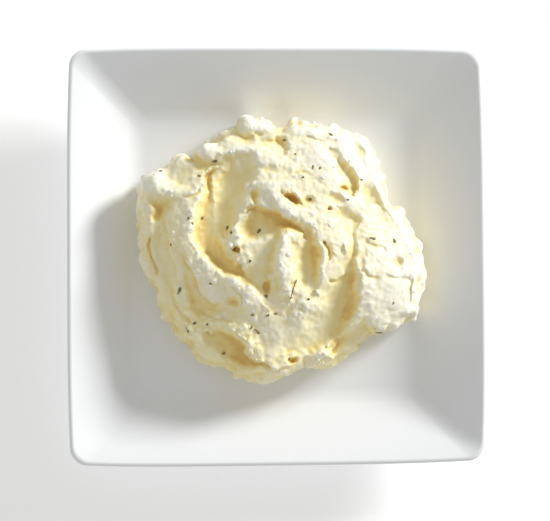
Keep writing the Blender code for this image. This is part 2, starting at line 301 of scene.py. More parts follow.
troughs = [
    {"route": ((-8, 36, -0.5), (-15, 37, -2.6), (-22, 36.5, -3.8), (-28, 33, -3.6), (-29.8, 26, -3.9),
               (-29.5, 18, -4.3),
               (-29.3, 9, -4.8), (-26.5, 0, -4.4), (-21, -5.5, -3.6), (-14, -8, -2.6), (-8, -8, -1.6)),
     "left": 7.0, "right": 8.0, "rise": 4.8, "blend": 1.6, "polish": 1.0},
    {"route": ((-42, 2, -1.5), (-38.5, -4, -2.6), (-36.2, -11, -3.6), (-33, -17, -4.0), (-28, -21, -3.6),
               (-21, -22.5, -1.8)),
     "left": 3.6, "right": 9.0, "rise": 4.2, "blend": 1.2, "polish": 0.9},
    {"route": ((29, -2, 0), (30.5, -9, -2.2), (30.5, -16, -3.3), (29, -23, -3.8), (26, -29, -4.0),
               (21.5, -34.5, -3.8),
               (16, -38.5, -3.2), (8, -41, -1.5)),
     "left": 4.2, "right": 13.0, "rise": 4.6, "blend": 1.2, "polish": 0.95},
    {"route": ((-25, 51, -2.0), (-20, 51, -3.6), (-15.5, 51.5, -3.4)),
     "left": 4.0, "right": 5.2, "rise": 3.6, "blend": 1.4, "polish": 0.9},
    {"route": ((-6, 46.5, -1.0), (0.5, 45.5, -2.4)),
     "left": 4.5, "right": 3.6, "rise": 3.0, "blend": 1.2, "polish": 0.7},
    {"route": ((-46, 33, -1.0), (-40.5, 32.5, -1.8), (-35, 33, -2.2), (-32, 36, -1.8)),
     "left": 7.0, "right": 5.6, "rise": 2.2, "blend": 1.8, "polish": 0.8},
    {"route": ((25, 44, 0.2), (28, 39.5, -0.6), (31, 34, -1.2), (32.5, 29.0, -1.4)),
     "left": 1.8, "right": 3.6, "rise": 2.2, "blend": 0.9, "polish": 0.5},
    {"route": ((38, 27, -0.5), (41, 21, -2.6), (45, 16, -1.0)),
     "left": 5.5, "right": 2.6, "rise": 2.8, "blend": 1.0, "polish": 0.5},
    {"route": ((28, 17, -1), (30, 13.5, -2.6), (31.5, 9, -1.5)),
     "left": 5.0, "right": 2.4, "rise": 2.6, "blend": 1.0, "polish": 0.4},
    {"route": ((34, 9, -0.5), (34.5, 2, -1), (33.5, -5, -1.4)),
     "left": 3.0, "right": 5.5, "rise": 2.5, "blend": 1.4, "polish": 0.4},
    {"route": ((-53, 23, -1), (-50, 20.5, -3.6), (-51.5, 17, -2.4)),
     "left": 4.0, "right": 3.6, "rise": 3.2, "blend": 1.2, "polish": 0.3},
    {"route": ((-48, 15, -1.0), (-47.5, 4, -1.2), (-45.5, -8, -0.8), (-43, -18, -0.4)),
     "left": 7.0, "right": 7.5, "rise": 1.6, "blend": 1.6, "polish": 0.8},
    {"route": ((26, -38, -4.6), (32, -36.5, -3.8), (37, -33, -2.6)),
     "left": 4.5, "right": 6.0, "rise": 3.2, "blend": 1.0, "polish": 0.2},
    {"route": ((33, 49, -1), (36, 45, -1.2)),
     "left": 3.0, "right": 3.0, "rise": 2.0, "blend": 1.0, "polish": 0.5},
    {"route": ((-27, -34, -2.0), (-21, -36.5, -4.0), (-16, -40.5, -5.4)),
     "left": 3.0, "right": 8.5, "rise": 5.0, "blend": 1.5, "polish": 0.95},
    {"route": ((-13, 20.5, -1.6), (-7.5, 18.2, -4.2), (-2.0, 15.8, -5.0), (4, 12.8, -3.6), (9.5, 10, -2.2)),
     "left": 2.8, "right": 8.5, "rise": 4.2, "blend": 0.9, "polish": 0.9},
    {"route": ((14.5, 6.5, -1.8), (15, 1.5, -3.6), (14.8, -4, -3.2), (15, -10, -1.9), (16.5, -14.5, -0.8)),
     "left": 2.6, "right": 9.0, "rise": 3.8, "blend": 1.0, "polish": 0.85},
    {"route": ((-2, 9, -1.0), (-4.5, 2, -1.5), (-4.5, -6, -2.0)),
     "left": 3.0, "right": 12.0, "rise": 2.4, "blend": 1.2, "polish": 0.6},
]
lateTroughs = [
    {"route": ((-15.0, 37, -2.6), (-19.5, 33.5, -4.8), (-22.0, 28, -5.2), (-23.5, 21, -5.2),
               (-25.5, 13, -5.0)),
     "left": 6.5, "right": 6.5, "rise": 3.4, "blend": 1.4, "polish": 1.0},
]
folds = [
    # the crest round the swirl, the brow above it, and the ring round the crater
    {"route": ((-32.5, 30, 0), (-35, 24, 1.0), (-36.8, 17, 1.6), (-38.2, 11, 1.9), (-38.3, 6, 1.9),
               (-35.5, 1, 1.5),
               (-31, -4, 1.2), (-25, -8.5, 1.1), (-19, -11.8, 1.6), (-13, -14.5, 2.2), (-8, -19, 1.8)),
     "left": 3.0, "right": 12.0, "rise": 3.0, "blend": 1.2, "grain": 0.5},
    {"route": ((-33, 47.2, 0.3), (-28, 45, 1.6), (-21, 43, 2.4), (-13, 41.5, 2.6), (-5, 40, 2.6),
               (3, 37.5, 2.4),
               (10, 35.5, 1.6)),
     "left": 8.0, "right": 4.2, "rise": 3.0, "blend": 1.4, "grain": 0.45},
    {"route": ((-16, 22, 0.2), (-15.5, 27, 1.2), (-11.5, 31, 1.9), (-6, 29.5, 2.4), (-1.5, 24.5, 3.2),
               (3, 20, 3.4),
               (9, 17, 2.8), (14, 13.5, 2.4), (18, 9.5, 2.0), (21, 5, 1.2)),
     "left": 14.0, "right": 3.4, "rise": 3.4, "blend": 1.6, "grain": 0.5},
    {"route": ((8, 8, 1.2), (4, 8.5, 2.2), (1.8, 4, 3.2), (1.2, -3, 3.4), (2, -9, 3.2), (3.5, -16, 2.2)),
     "left": 6.0, "right": 3.8, "rise": 3.8, "blend": 1.0, "grain": 0.6},
    {"route": ((-23, 17, 0.2), (-22.8, 9, 0.9), (-21, 3, 1.2), (-17.5, -2.5, 0.4)),
     "left": 9.0, "right": 2.0, "rise": 2.8, "blend": 0.8, "grain": 1.0},
    {"route": ((-59, 29, 0.8), (-51, 28, 1.4), (-44, 27.3, 1.0), (-37, 26, 0.3)),
     "left": 4.5, "right": 5.0, "rise": 2.6, "blend": 1.0, "grain": 0.4},
    {"route": ((-40.8, -5, 0.2), (-40.6, -12, 0.7), (-39.5, -21, 0.2)),
     "left": 2.6, "right": 8.0, "rise": 2.2, "blend": 1.0, "grain": 0.3},
    {"route": ((34.8, 10, 0.2), (34.8, 2, 1.0), (35.0, -6, 1.6), (35.8, -14, 2.0), (37.4, -22, 1.9),
               (40.5, -29, 1.4)),
     "left": 16.0, "right": 2.8, "rise": 3.0, "blend": 0.9, "grain": 0.4},
    {"route": ((-29, -30, 0), (-23.5, -30, 0.9), (-18.5, -32, 1.5), (-15, -35.8, 1.8), (-12.4, -40, 1.8),
               (-10.5, -43.5, 0.8)),
     "left": 8.0, "right": 1.8, "rise": 3.0, "blend": 0.7, "grain": 0.9},
    {"route": ((17.8, 7, 1.4), (19.6, 2.5, 2.2), (19.2, -2, 2.2), (18.6, -6.5, 1.6)),
     "left": 1.8, "right": 1.5, "rise": 2.6, "blend": 0.7, "grain": 0.3},
    {"route": ((30, -28, -2.6), (31.5, -31, -2.0), (31, -34.5, -2.6)),
     "left": 1.8, "right": 1.8, "rise": 2.2, "blend": 0.8, "grain": 0.3},
    {"route": ((-30.5, 36.5, -1.8), (-28, 38.3, -0.6), (-25, 39.2, -1.4)),
     "left": 2.2, "right": 2.0, "rise": 2.4, "blend": 0.7, "grain": 0.9},
    {"route": ((-13.5, 17.2, -0.4), (-12.2, 15.6, 0.1), (-12.4, 18.3, -0.2)),
     "left": 1.4, "right": 1.4, "rise": 2.4, "blend": 0.6, "grain": 0.4},
]
dips = [
    # x, y, long radius, short radius, turn, depth, steepness, polish
    (-9.5, 13.0, 8.5, 7.0, 20, -5.2, 5.2, 0.9),
    (-1.0, 16.0, 4.0, 2.4, -25, -4.6, 4.5, 0.6),
    (-9.5, 24.5, 2.6, 4.6, 0, -1.0, 3.0, 0.4),
    (-4.6, -13.4, 2.6, 3.8, 10, -3.6, 5.0, 0.2),
    (6.4, 24.8, 2.8, 1.3, -32, -1.6, 3.6, 0.0),
    (13.5, 23.6, 3.4, 2.4, 0, 0.4, 2.0, 0.3),
    (22.6, 20.1, 1.5, 0.9, 0, -1.4, 3.2, 0.0),
    (25.0, 23.6, 4.4, 3.0, -20, 0.2, 2.0, 0.5),
    (29.2, 28.3, 2.2, 1.0, -15, -2.2, 3.6, 0.0),
    (-18.5, 2.6, 1.7, 1.4, 0, -2.8, 4.0, 0.0),
    (-21.8, 12.0, 1.4, 1.1, 0, -1.8, 3.4, 0.0),
    (11.5, -12.0, 3.0, 2.6, 0, -1.8, 3.0, 0.4),
    (5.5, -45.0, 2.6, 1.8, 10, -2.4, 3.6, 0.2),
    (52.0, -3.0, 2.6, 2.0, 0, -0.3, 2.0, 0.2),
    (-20.0, -20.5, 3.4, 2.4, -20, -1.6, 2.6, 0.2),
    (4.5, -24.5, 2.2, 4.0, 0, -0.6, 2.2, 0.1),
]
creases = [
    # a cut with its left bank raised: route, raised by, sunk by, width
    (((-54.3, 11), (-54, 3), (-52, -4.5), (-50.6, -10)), 0.5, 1.8, 1.3),
    (((-42, 3), (-40, -1), (-37.4, -5), (-35.3, -8), (-35.2, -13), (-32, -17.8), (-27, -20),
      (-22.5, -18.6)), 1.4, 1.0, 1.4),
    (((-0.5, 28.2), (2.6, 26.6), (4.6, 25.8), (8.2, 23.2), (9.4, 22.9), (12.6, 20.2)), 0.7, 1.7, 1.2),
    (((-48, 21), (-47.4, 11), (-46, 2), (-44.2, -5), (-42.6, -10)), 0.8, 0.5, 1.3),
    (((-57.5, 14), (-57, 5), (-55.4, -3)), 0.6, 0.5, 1.2),
    (((-46.5, -10), (-44, -18), (-40.5, -25), (-37, -30)), 0.8, 0.6, 1.3),
    (((-33, -22), (-29, -26), (-22, -27.5), (-16, -27)), 0.7, 0.5, 1.2),
    (((37.8, 8), (38.2, 4.8), (42, 4.4), (45.5, 2.6), (45, -1.5)), 0.3, 0.8, 1.5),
    (((37.3, -5.5), (38.8, -9), (43.5, -9.6)), 0.4, 0.9, 1.6),
    (((45, -7.8), (50, -10), (55, -9.5), (58, -11.5)), 0.5, 0.6, 1.5),
    (((57.8, -8), (57.6, -15), (56.8, -22)), 0.4, 1.2, 1.9),
    (((19.3, 7), (22.3, 3), (22.2, -1), (21, -5.5)), 0.4, 1.3, 1.4),
    (((7.3, -10.5), (6, -14), (5.7, -18)), 0.4, 0.9, 0.8),
    (((-16, 18.5), (-12.5, 20.3), (-9, 20.8)), 0.8, 0.6, 0.8),
    (((-13.5, -43), (-8, -45.5), (-3, -48.8), (2, -48), (6, -47)), 1.6, 1.0, 1.8),
    (((21, -11.5), (25.5, -10.4), (29.5, -7.5)), 1.5, 0.8, 1.3),
    (((10, -48), (19, -45), (23.5, -41), (26.5, -36.5)), 1.6, 1.0, 1.5),
    (((-40, -29.5), (-38.8, -31.5), (-37.8, -34)), 0.5, 1.2, 1.0),
    (((-40, 25.2), (-36, 26.3), (-33.5, 29)), 0.6, 1.0, 1.0),
    (((-17, 55.8), (-12, 55.3), (-9, 53), (-5, 51.8)), 0.3, 1.2, 1.3),
    (((12, 52), (17, 49), (21, 50)), 0.5, 0.6, 1.2),
    (((-22, -10.5), (-16, -17), (-14, -24)), 0.9, 0.7, 1.2),
    (((15, 33), (11, 35.5), (6, 33)), 0.7, 0.7, 1.1),
]
heapShade = {
    # painted shade that darkens and yellows the mash colour: in hollows, where little open sky is seen, and
    # on steep sides
    "hollow": 0.30,
    "sky": 1.1,
    "openSky": 0.93,            # share of sky seen by an open crest
    "steep": 0.15,
    "level": 0.9,
}
mashGrain = {
    "roll": (0.6, 8.0),         # height and width of the soft unevenness everywhere
    "curd": (0.48, 3.2),         # the same for curds where the mash is torn
    "smallCurd": (0.11, 1.6),
    "grit": (0.03, 0.9),
    "sideRoll": (1.6, 9.0),      # sagging folds down the side
    "plainTorn": 0.22,           # how torn the heap is where no stroke has passed
}


def outlineRadius(shape, angle, share):
    # ragged at the edge itself, eased further in
    edge = smoothRoute(shape["outline"] + shape["outline"][:1], 4)[:-1] - shape["centre"]
    turns = np.arctan2(edge[:, 1], edge[:, 0])
    radii = np.hypot(edge[:, 0], edge[:, 1])
    exact = np.interp(angle, turns, radii, period=2 * math.pi)
    eased = sum(np.interp(angle + k * 0.06, turns, radii, period=2 * math.pi) for k in range(-4, 5)) / 9
    return (eased + (exact - eased) * smoothStep(0.55, 0.95, share)) * shape["drawnIn"]


def measureTo(x, y, route):
    # distance to the route, signed + on its left, and the route's third column there
    line = smoothRoute(route)
    distance = np.full(x.shape, 1e9)
    side = np.ones(x.shape)
    carried = np.zeros(x.shape)
    along = np.zeros(x.shape)
    for i in range(len(line) - 1):
        a, b = line[i], line[i + 1]
        run = b[:2] - a[:2]
        t = np.clip(((x - a[0]) * run[0] + (y - a[1]) * run[1]) / max(run @ run, 1e-9), 0, 1)
        dx, dy = x - a[0] - t * run[0], y - a[1] - t * run[1]
        d = np.hypot(dx, dy)
        near = d < distance
        distance = np.where(near, d, distance)
        side = np.where(near, np.sign(run[0] * dy - run[1] * dx + 1e-12), side)
        if line.shape[1] > 2:
            carried = np.where(near, a[2] + (b[2] - a[2]) * t, carried)
        along = np.where(near, (i + t) / (len(line) - 1), along)
    return distance, side, carried, along


def within(x, y, route, margin):
    route = np.array(route, float)
    low, high = route[:, :2].min(0) - margin, route[:, :2].max(0) + margin
    return np.nonzero((x > low[0]) & (x < high[0]) & (y > low[1]) & (y < high[1]))[0]


def strokeProfile(x, y, stroke):
    distance, side, height, _ = measureTo(x, y, stroke["route"])
    width = np.where(side > 0, stroke["left"], stroke["right"])
    return distance / width, height


def roundShare(x, y, centreX, centreY, along, across, turn):
    a = math.radians(turn)
    dx, dy = x - centreX, y - centreY
    lengthways = (dx * math.cos(a) + dy * math.sin(a)) / along
    sideways = (dy * math.cos(a) - dx * math.sin(a)) / across
    return lengthways ** 2 + sideways ** 2


def cutTrough(x, y, plain, stroke, z, torn):
    i = within(x, y, stroke["route"], 16)
    d, height = strokeProfile(x[i], y[i], stroke)
    cut = plain[i] + height + stroke["rise"] * d ** 2
    z[i] = softMin(z[i], cut, stroke["blend"])
    torn[i] = torn[i] * (1 - stroke["polish"] * (1 - smoothStep(0.75, 1.2, d)))


def workHeap(x, y, plain):
    # the spoon's strokes in the order they were made; gives the height and how smooth or torn each place is
    z = plain.copy()
    torn = np.full(x.shape, mashGrain["plainTorn"])
    for cx, cy, along, across, turn, height, steep, tear in lumps:
        share = roundShare(x, y, cx, cy, along, across, turn)
        z = softMax(z, plain + height - steep * share, 1.5)
        torn += (tear - torn) * (1 - smoothStep(0.4, 1.2, share))
    for stroke in troughs:
        cutTrough(x, y, plain, stroke, z, torn)
    for stroke in folds:
        i = within(x, y, stroke["route"], 12)
        d, height = strokeProfile(x[i], y[i], stroke)
        laid = plain[i] + height - stroke["rise"] * d ** 2
        z[i] = softMax(z[i], laid, stroke["blend"])
        torn[i] = torn[i] + (stroke["grain"] - torn[i]) * (1 - smoothStep(0.4, 1.0, d))
    for stroke in lateTroughs:
        cutTrough(x, y, plain, stroke, z, torn)
    for cx, cy, along, across, turn, depth, steep, polish in dips:
        share = roundShare(x, y, cx, cy, along, across, turn)
        z = softMin(z, plain + depth + steep * share, 0.25 * min(along, across))
        torn = torn * (1 - polish * (1 - smoothStep(0.5, 1.1, share)))
    for route, raised, sunk, width in creases:
        i = within(x, y, route, 8)
        d, side, _, along = measureTo(x[i], y[i], route)
        fade = smoothStep(0, 0.2, np.minimum(along, 1 - along))
        edge = smoothStep(-0.35, 0.35, d * side)
        bank = raised * np.exp(-d / (2.2 * width)) * edge
        cut = sunk * np.exp(-((d / width) ** 2)) * (1 - 0.6 * edge)
        z[i] += (bank - cut) * fade
    return z, torn


def heapGrid(shape):
    n = shape["grid"] + 1
    line = np.linspace(-1, 1, n)
    u, v = (part.ravel() for part in np.meshgrid(line, line))
    a, b = u * np.sqrt(1 - v * v / 2), v * np.sqrt(1 - u * u / 2)
    share, angle = np.minimum(1, np.hypot(a, b)), np.arctan2(b, a)
    side = np.clip((share - shape["topShare"]) / (1 - shape["topShare"]), 0, 1)
    tuck = math.radians(shape["tuck"])
    onTop = np.minimum(share / shape["topShare"], 1)
    reach = onTop * shape["topReach"] + (1 - shape["topReach"]) * np.sin(side * tuck)
    fall = (np.cos(side * tuck) - math.cos(tuck)) / (1 - math.cos(tuck))
    radius = outlineRadius(shape, angle, share) * reach
    x = shape["centre"][0] + radius * np.cos(angle)
    y = shape["centre"][1] + radius * np.sin(angle)
    return x, y, onTop, side, fall


def gridNormals(points, n):
    grid = points.reshape(n, n, 3)
    across = np.gradient(grid, axis=1)
    up = np.gradient(grid, axis=0)
    normal = np.cross(across, up).reshape(-1, 3)
    return normal / np.maximum(np.linalg.norm(normal, axis=1, keepdims=True), 1e-9)


def blurGrid(values, n, reach):
    # mean over a square of the mesh, reach points to each side
    grid = values.reshape(n, n, -1)
    for axis in (0, 1):
        padded = np.pad(grid, [(reach + 1, reach) if k == axis else (0, 0) for k in range(3)], mode="edge")
        total = np.cumsum(padded, axis=axis)
        high = np.take(total, range(2 * reach + 1, 2 * reach + 1 + n), axis=axis)
        low = np.take(total, range(0, n), axis=axis)
        grid = (high - low) / (2 * reach + 1)
    return grid.reshape(len(values), -1)


def hollowness(points, normals, n):
    # + in hollows and seams, - on crests, from fine to broad
    total = np.zeros(len(points))
    for reach, gain in ((2, 0.9), (6, 0.35)):
        mean = blurGrid(blurGrid(points, n, reach), n, reach)
        total += gain * np.einsum("ij,ij->i", mean - points, normals)
    return total


def skyShare(points, normals, n, step=3, rays=28, limit=45):
    # how much open sky each place sees, by rays from every third point of the mesh
    pick = np.unique(np.append(np.arange(0, n, step), n - 1))
    grid = points.reshape(n, n, 3)[np.ix_(pick, pick)]
    facing = normals.reshape(n, n, 3)[np.ix_(pick, pick)].reshape(-1, 3)
    flat = grid.reshape(-1, 3)
    m = len(pick)
    index = np.arange(m * m).reshape(m, m)
    quads = np.stack([index[:-1, :-1], index[:-1, 1:], index[1:, 1:], index[1:, :-1]], axis=-1).reshape(-1,
                                                                                                        4)
    tree = BVHTree.FromPolygons(flat.tolist(), quads.tolist())
    golden = math.pi * (3 - math.sqrt(5))
    turns = np.arange(rays) * golden
    out = np.sqrt((np.arange(rays) + 0.5) / rays)
    local = np.stack([out * np.cos(turns), out * np.sin(turns), np.sqrt(1 - out ** 2)], axis=1)
    seen = np.empty(len(flat))
    for i, (place, up) in enumerate(zip(flat, facing)):
        turn = Vector(up).to_track_quat("Z", "Y").to_matrix()
        start = Vector(place + up * 0.35)
        seen[i] = sum(tree.ray_cast(start, turn @ Vector(d), limit)[0] is None for d in local) / rays
    seen = blurGrid(seen[:, None], m, 1).reshape(m, m)
    rows = np.array([np.interp(np.arange(n), pick, row) for row in seen])
    return np.array([np.interp(np.arange(n), pick, column) for column in rows.T]).T.ravel()


def makeHeap(shape, grain):
    n = shape["grid"] + 1
    x, y, onTop, side, fall = heapGrid(shape)
    flat = np.stack([x, y, np.zeros(len(x))], axis=1)
    high1, wide1, high2, wide2 = shape["wobble"]
    shiftX = high1 * noiseAt(flat, wide1, 1) + high2 * noiseAt(flat, wide2, 3)
    shiftY = high1 * noiseAt(flat, wide1, 2) + high2 * noiseAt(flat, wide2, 4)
    plain = shape["crown"] - (shape["crown"] - shape["shoulder"]) * onTop ** shape["droop"]
    eyeX, eyeY, eyeZ = shape["seenFrom"]
    level = plain + plateShape["floorTop"]
    lean = (level - plateShape["height"]) / (eyeZ - level)
    worked, torn = workHeap(x + shiftX + (x - eyeX) * lean, y + shiftY + (y - eyeY) * lean, plain)
    report("strokes laid")
    foot = plateTop(plateShape, x, y) - plateShape["floorTop"] + 0.05
    z = foot + (worked - foot) * fall
    points = np.stack([x, y, z], axis=1)
    for cx, cy, cz, radius in bulges:
        away = points - (cx, cy, cz)
        distance = np.maximum(np.linalg.norm(away, axis=1), 0.2)
        points = points + away * (softMax(distance, radius, 1.2) / distance - 1)[:, None]
    points[:, 2] = np.maximum(points[:, 2], foot)
    normals = gridNormals(points, n)
    # the side sags in soft folds, the top keeps its strokes
    sideways = smoothStep(0.05, 0.5, side) * smoothStep(0.0, 0.25, 1 - side)
    roll = noiseAt(points, grain["roll"][1], 5, 3) * grain["roll"][0]
    sag = noiseAt(points, grain["sideRoll"][1], 6, 2) * grain["sideRoll"][0] * sideways
    footHold = smoothStep(0.0, 0.12, 1 - side)
    points = points + normals * ((roll * (0.35 + 0.65 * torn) + sag) * footHold)[:, None]
    normals = gridNormals(points, n)
    patch = 0.6 + 0.4 * np.clip(noiseAt(points, 9.0, 7) + 0.3, 0, 1)
    # crests crumble, troughs stay smooth
    crest = np.einsum("ij,ij->i", points - blurGrid(points, n, 5), normals)
    rough = torn * patch + 0.6 * smoothStep(0.08, 0.42, crest) * (0.45 + 0.55 * patch)
    curd = (curdsAt(points, grain["curd"][1], 8) - 0.5) * grain["curd"][0] * rough
    small = (curdsAt(points, grain["smallCurd"][1], 9) - 0.5) * grain["smallCurd"][0] * rough
    grit = noiseAt(points, grain["grit"][1], 10) * grain["grit"][0] * (0.25 + 0.75 * rough)
    points = points + normals * ((curd + small + grit) * footHold)[:, None]
    report("grain raised")
    floor = plateTop(plateShape, points[:, 0], points[:, 1]) - plateShape["floorTop"]
    points[:, 2] = np.maximum(points[:, 2], floor + 0.02)
    normals = gridNormals(points, n)
    hollow = hollowness(points, normals, n)
    sky = skyShare(points, normals, n)
    report("hollows found")
    return points, normals, hollow, sky, rough, n


def closeHeap(points, n):
    # quads over the grid, then the underside as one more ring and a fan
    index = np.arange(n * n).reshape(n, n)
    quads = np.stack([index[:-1, :-1], index[:-1, 1:], index[1:, 1:], index[1:, :-1]], axis=-1).reshape(-1,
                                                                                                        4)
    rim = np.concatenate([index[0, :-1], index[:-1, -1], index[-1, :0:-1], index[:0:-1, 0]])
    centre = points[rim].mean(0)
    ring = centre + (points[rim] - centre) * 0.8
    ring[:, 2] = 0.02
    centre[2] = 0.02
    verts = np.vstack([points, ring, centre])
    count = len(rim)
    start = n * n
    faces = quads.tolist()
    for i in range(count):
        j = (i + 1) % count
        faces.append((rim[i], start + i, start + j, rim[j]))
        faces.append((start + i, start + count, start + j))
    return verts, faces


points, normals, hollow, sky, rough, gridCount = makeHeap(heapShape, mashGrain)
verts, faces = closeHeap(points, gridCount)
toWorld = np.array([0, 0, plateShape["floorTop"]])
heap = addMesh("potato_heap", (verts + toWorld) * mm, faces)
spare = len(verts) - len(points)
# painted shade: darker, yellower colour in hollows, where the sky is closed, and on steep sides
steep = np.clip(heapShade["level"] - normals[:, 2], 0, 1)
closed = heapShade["openSky"] - sky
shade = hollow * heapShade["hollow"] + closed * heapShade["sky"] + heapShade["steep"] * steep
# painted light where the light falls, painted shade where it does not
for cx, cy, along, across, turn, amount in paintedLightAndShade:
    share = roundShare(points[:, 0], points[:, 1], cx, cy, along, across, turn)
    shade += amount * (1 - smoothStep(0.3, 1.3, share))
keepShade(heap, np.concatenate([shade, np.zeros(spare)]))
report(f"heap of {len(faces)} faces")

plate = makePlate(plateShape)
report("plate lofted")


crumbShape = {
    "count": 150,
    "radius": (0.55, 1.25),       # smallest and largest
    "flatness": 0.5,
    "sunk": 0.36,                # share of the radius below the surface
    "fewLarge": 2.2,             # more makes large crumbs rarer
    "narrowest": 0.65,           # width as a share of length
    "dent": (0.28, 0.9),         # depth and width, as shares of the radius
    "tornFrom": 0.3,             # crumbs lie only where the mash is more torn than this
    "levelFrom": 0.25,           # and no steeper than this
    "paler": 0.04,
    # painted shade on a crumb is this much less than where it sits, so crumbs come out paler
    "seed": 11,
}
herbShape = {
    "thickness": 0.22,
    "curl": 0.25,
    "lift": 0.12,
    "stemWidth": 0.5,
    "longer": 1.08,
    "wider": 1.1,
    "lean": 0.033,              # how much further out a place high on the heap is seen
    "seed": 5,
}

# x, y, length, width, turn in degrees
flecks = [
    (-21.7, 12, 2.0, 1.3, 50), (-20, 10, 1.6, 1.0, -60), (-18.7, 2.9, 2.0, 1.2, 20),
    (-36.5, 14, 1.5, 1.0, 80),
    (-38.3, 16.1, 1.6, 0.9, 70), (-32.5, 16.5, 2.2, 1.2, 0), (-8, 10.5, 2.4, 1.4, 60),
    (-42.5, -15, 3.4, 1.1, 60),
    (-36, -29, 1.8, 1.0, 20), (-30.5, -29.5, 1.6, 0.9, 0), (-39, -32, 2.4, 1.3, -50),
    (-23.5, -42.3, 2.4, 0.9, 10),
    (-11, -25.5, 1.8, 1.1, 30), (-8.7, -32.7, 3.6, 1.2, -40), (-11.5, -31, 1.8, 1.0, 60),
    (5, -45, 2.8, 1.8, 60),
    (-1, -25, 1.4, 0.9, 0), (-4.5, -25.7, 1.6, 1.0, 40), (-5.3, -17.5, 2.0, 1.2, 0),
    (24, 53, 1.9, 1.2, -40),
    (11, 33.5, 1.4, 0.7, 30), (15.5, 38, 1.8, 0.7, 80), (18.6, 37.6, 1.5, 0.8, 60), (13.9, 24, 1.7, 1.1, 0),
    (41.5, 7.2, 3.4, 1.0, -8), (51.3, 6.3, 1.9, 1.2, -70), (50.5, -21, 1.3, 0.8, 70),
    (3.5, 50.5, 2.2, 0.8, 10),
    (-33.5, 35, 1.7, 1.0, -30), (-26.7, 41.3, 3.0, 1.2, 15), (20, 5.5, 2.0, 1.1, -50),
    (-50.4, 37.6, 1.3, 0.9, 0),
    (-12, -2.5, 1.5, 0.9, 60), (13, -19, 1.4, 0.8, 20), (45, -34, 3.0, 0.8, 5), (30.5, 24, 1.2, 0.8, 0),
    (-29, -12, 1.2, 0.8, 40), (8, 44, 1.1, 0.7, 10), (37, 33, 1.1, 0.7, 0), (-46, 5, 1.2, 0.8, 70),
]
stems = [((7.9, -10.7), (6.4, -14.5), (5.3, -18.5))]


def settle(mesh, x, y):
    # the surface of a mesh straight below a place, in mm, with its direction
    hit, normal, _, _ = mesh.ray_cast(Vector((x, y, 80)), Vector((0, 0, -1)))
    return np.array(hit), np.array(normal)


def turnFrame(normal, turn):
    # two directions along the surface, the first one turned about the direction out of it
    first = np.array([math.cos(turn), math.sin(turn), 0.0])
    first = first - normal * (first @ normal)
    first = first / np.linalg.norm(first)
    return first, np.cross(normal, first)


def makeCrumbs(c, points, normals, shade, rough):
    rng = np.random.default_rng(c["seed"])
    ball = bmesh.new()
    bmesh.ops.create_icosphere(ball, subdivisions=2, radius=1)
    ballVerts = np.array([v.co for v in ball.verts])
    ballFaces = [[v.index for v in face.verts] for face in ball.faces]
    ball.free()
    weight = np.clip(rough - c["tornFrom"], 0, None) ** 1.5 * (normals[:, 2] > c["levelFrom"])
    picks = rng.choice(len(points), c["count"], replace=False, p=weight / weight.sum())
    low, high = c["radius"]
    depth, width = c["dent"]
    verts, faces, shades = [], [], []
    for pick in picks:
        radius = low + (high - low) * rng.random() ** c["fewLarge"]
        spin = rng.random() * 2 * math.pi
        first, second = turnFrame(normals[pick], spin)
        size = radius * np.array([1.0, c["narrowest"] + (1 - c["narrowest"]) * rng.random(), c["flatness"]])
        dented = ballVerts * (1 + depth * noiseAt(ballVerts + rng.random(3) * 40, width, 12))[:, None]
        body = dented * size
        place = points[pick] + normals[pick] * radius * (c["flatness"] - 2 * c["sunk"])
        start = len(verts) * len(ballVerts)
        verts.append(place + body[:, :1] * first + body[:, 1:2] * second + body[:, 2:] * normals[pick])
        faces.extend([start + i for i in face] for face in ballFaces)
        shades.append(np.full(len(ballVerts), shade[pick] - c["paler"]))
    return np.vstack(verts), faces, np.concatenate(shades)


def leafMesh(length, width, thickness, curl):
    # a small flat flake, pointed at both ends, closed above and below
    steps = 7
    t = np.linspace(-1, 1, steps)
    half = width / 2 * np.sqrt(np.clip(1 - t ** 2, 0, 1)) * (1 + 0.25 * np.sin(3 * t))
    bend = -curl * t ** 2 * length / 4
    rows = []
    for along, across, up in zip(t * length / 2, half, bend):
        rows.append([(along, -across, up), (along, 0, up + thickness), (along, across, up),
                     (along, 0, up - thickness)])
    verts = np.array(rows).reshape(-1, 3)
    faces = []
    for r in range(steps - 1):
        for k in range(4):
            j = (k + 1) % 4
            faces.append((r * 4 + k, r * 4 + j, (r + 1) * 4 + j, (r + 1) * 4 + k))
    faces.append((3, 2, 1, 0))
    last = (steps - 1) * 4
    faces.append((last, last + 1, last + 2, last + 3))
    return verts, faces


def makeHerbs(h, surface):
    rng = np.random.default_rng(h["seed"])
    verts, faces, count = [], [], 0
    pieces = [(x, y, length, width, math.radians(turn)) for x, y, length, width, turn in flecks]
    for route in stems:
        line = smoothRoute(route, 4)
        for a, b in zip(line[:-1], line[1:]):
            run = b - a
            middle = (a + b) / 2
            pieces.append((middle[0], middle[1], np.hypot(*run) * 1.3, h["stemWidth"], math.atan2(run[1],
                                                                                                  run[0])))
    eyeX, eyeY, _ = heapShape["seenFrom"]
    lean = h["lean"]
    for x, y, length, width, turn in pieces:
        place, normal = settle(surface, (x + eyeX * lean) / (1 + lean), (y + eyeY * lean) / (1 + lean))
        first, second = turnFrame(normal, turn)
        curl = h["curl"] * (0.5 + rng.random())
        leaf, leafFaces = leafMesh(length * h["longer"], width * h["wider"], h["thickness"], curl)
        place = place + normal * h["lift"]
        verts.append(place + leaf[:, :1] * first + leaf[:, 1:2] * second + leaf[:, 2:] * normal)
        faces.extend([count + i for i in face] for face in leafFaces)
        count += len(leaf)
    return np.vstack(verts), faces


def tidyDirections(piece):
    bm = bmesh.new()
    bm.from_mesh(piece.data)
    bmesh.ops.remove_doubles(bm, verts=bm.verts, dist=1e-7)
    bmesh.ops.recalc_face_normals(bm, faces=bm.faces)
    bm.to_mesh(piece.data)
    bm.free()
    piece.data.shade_smooth()


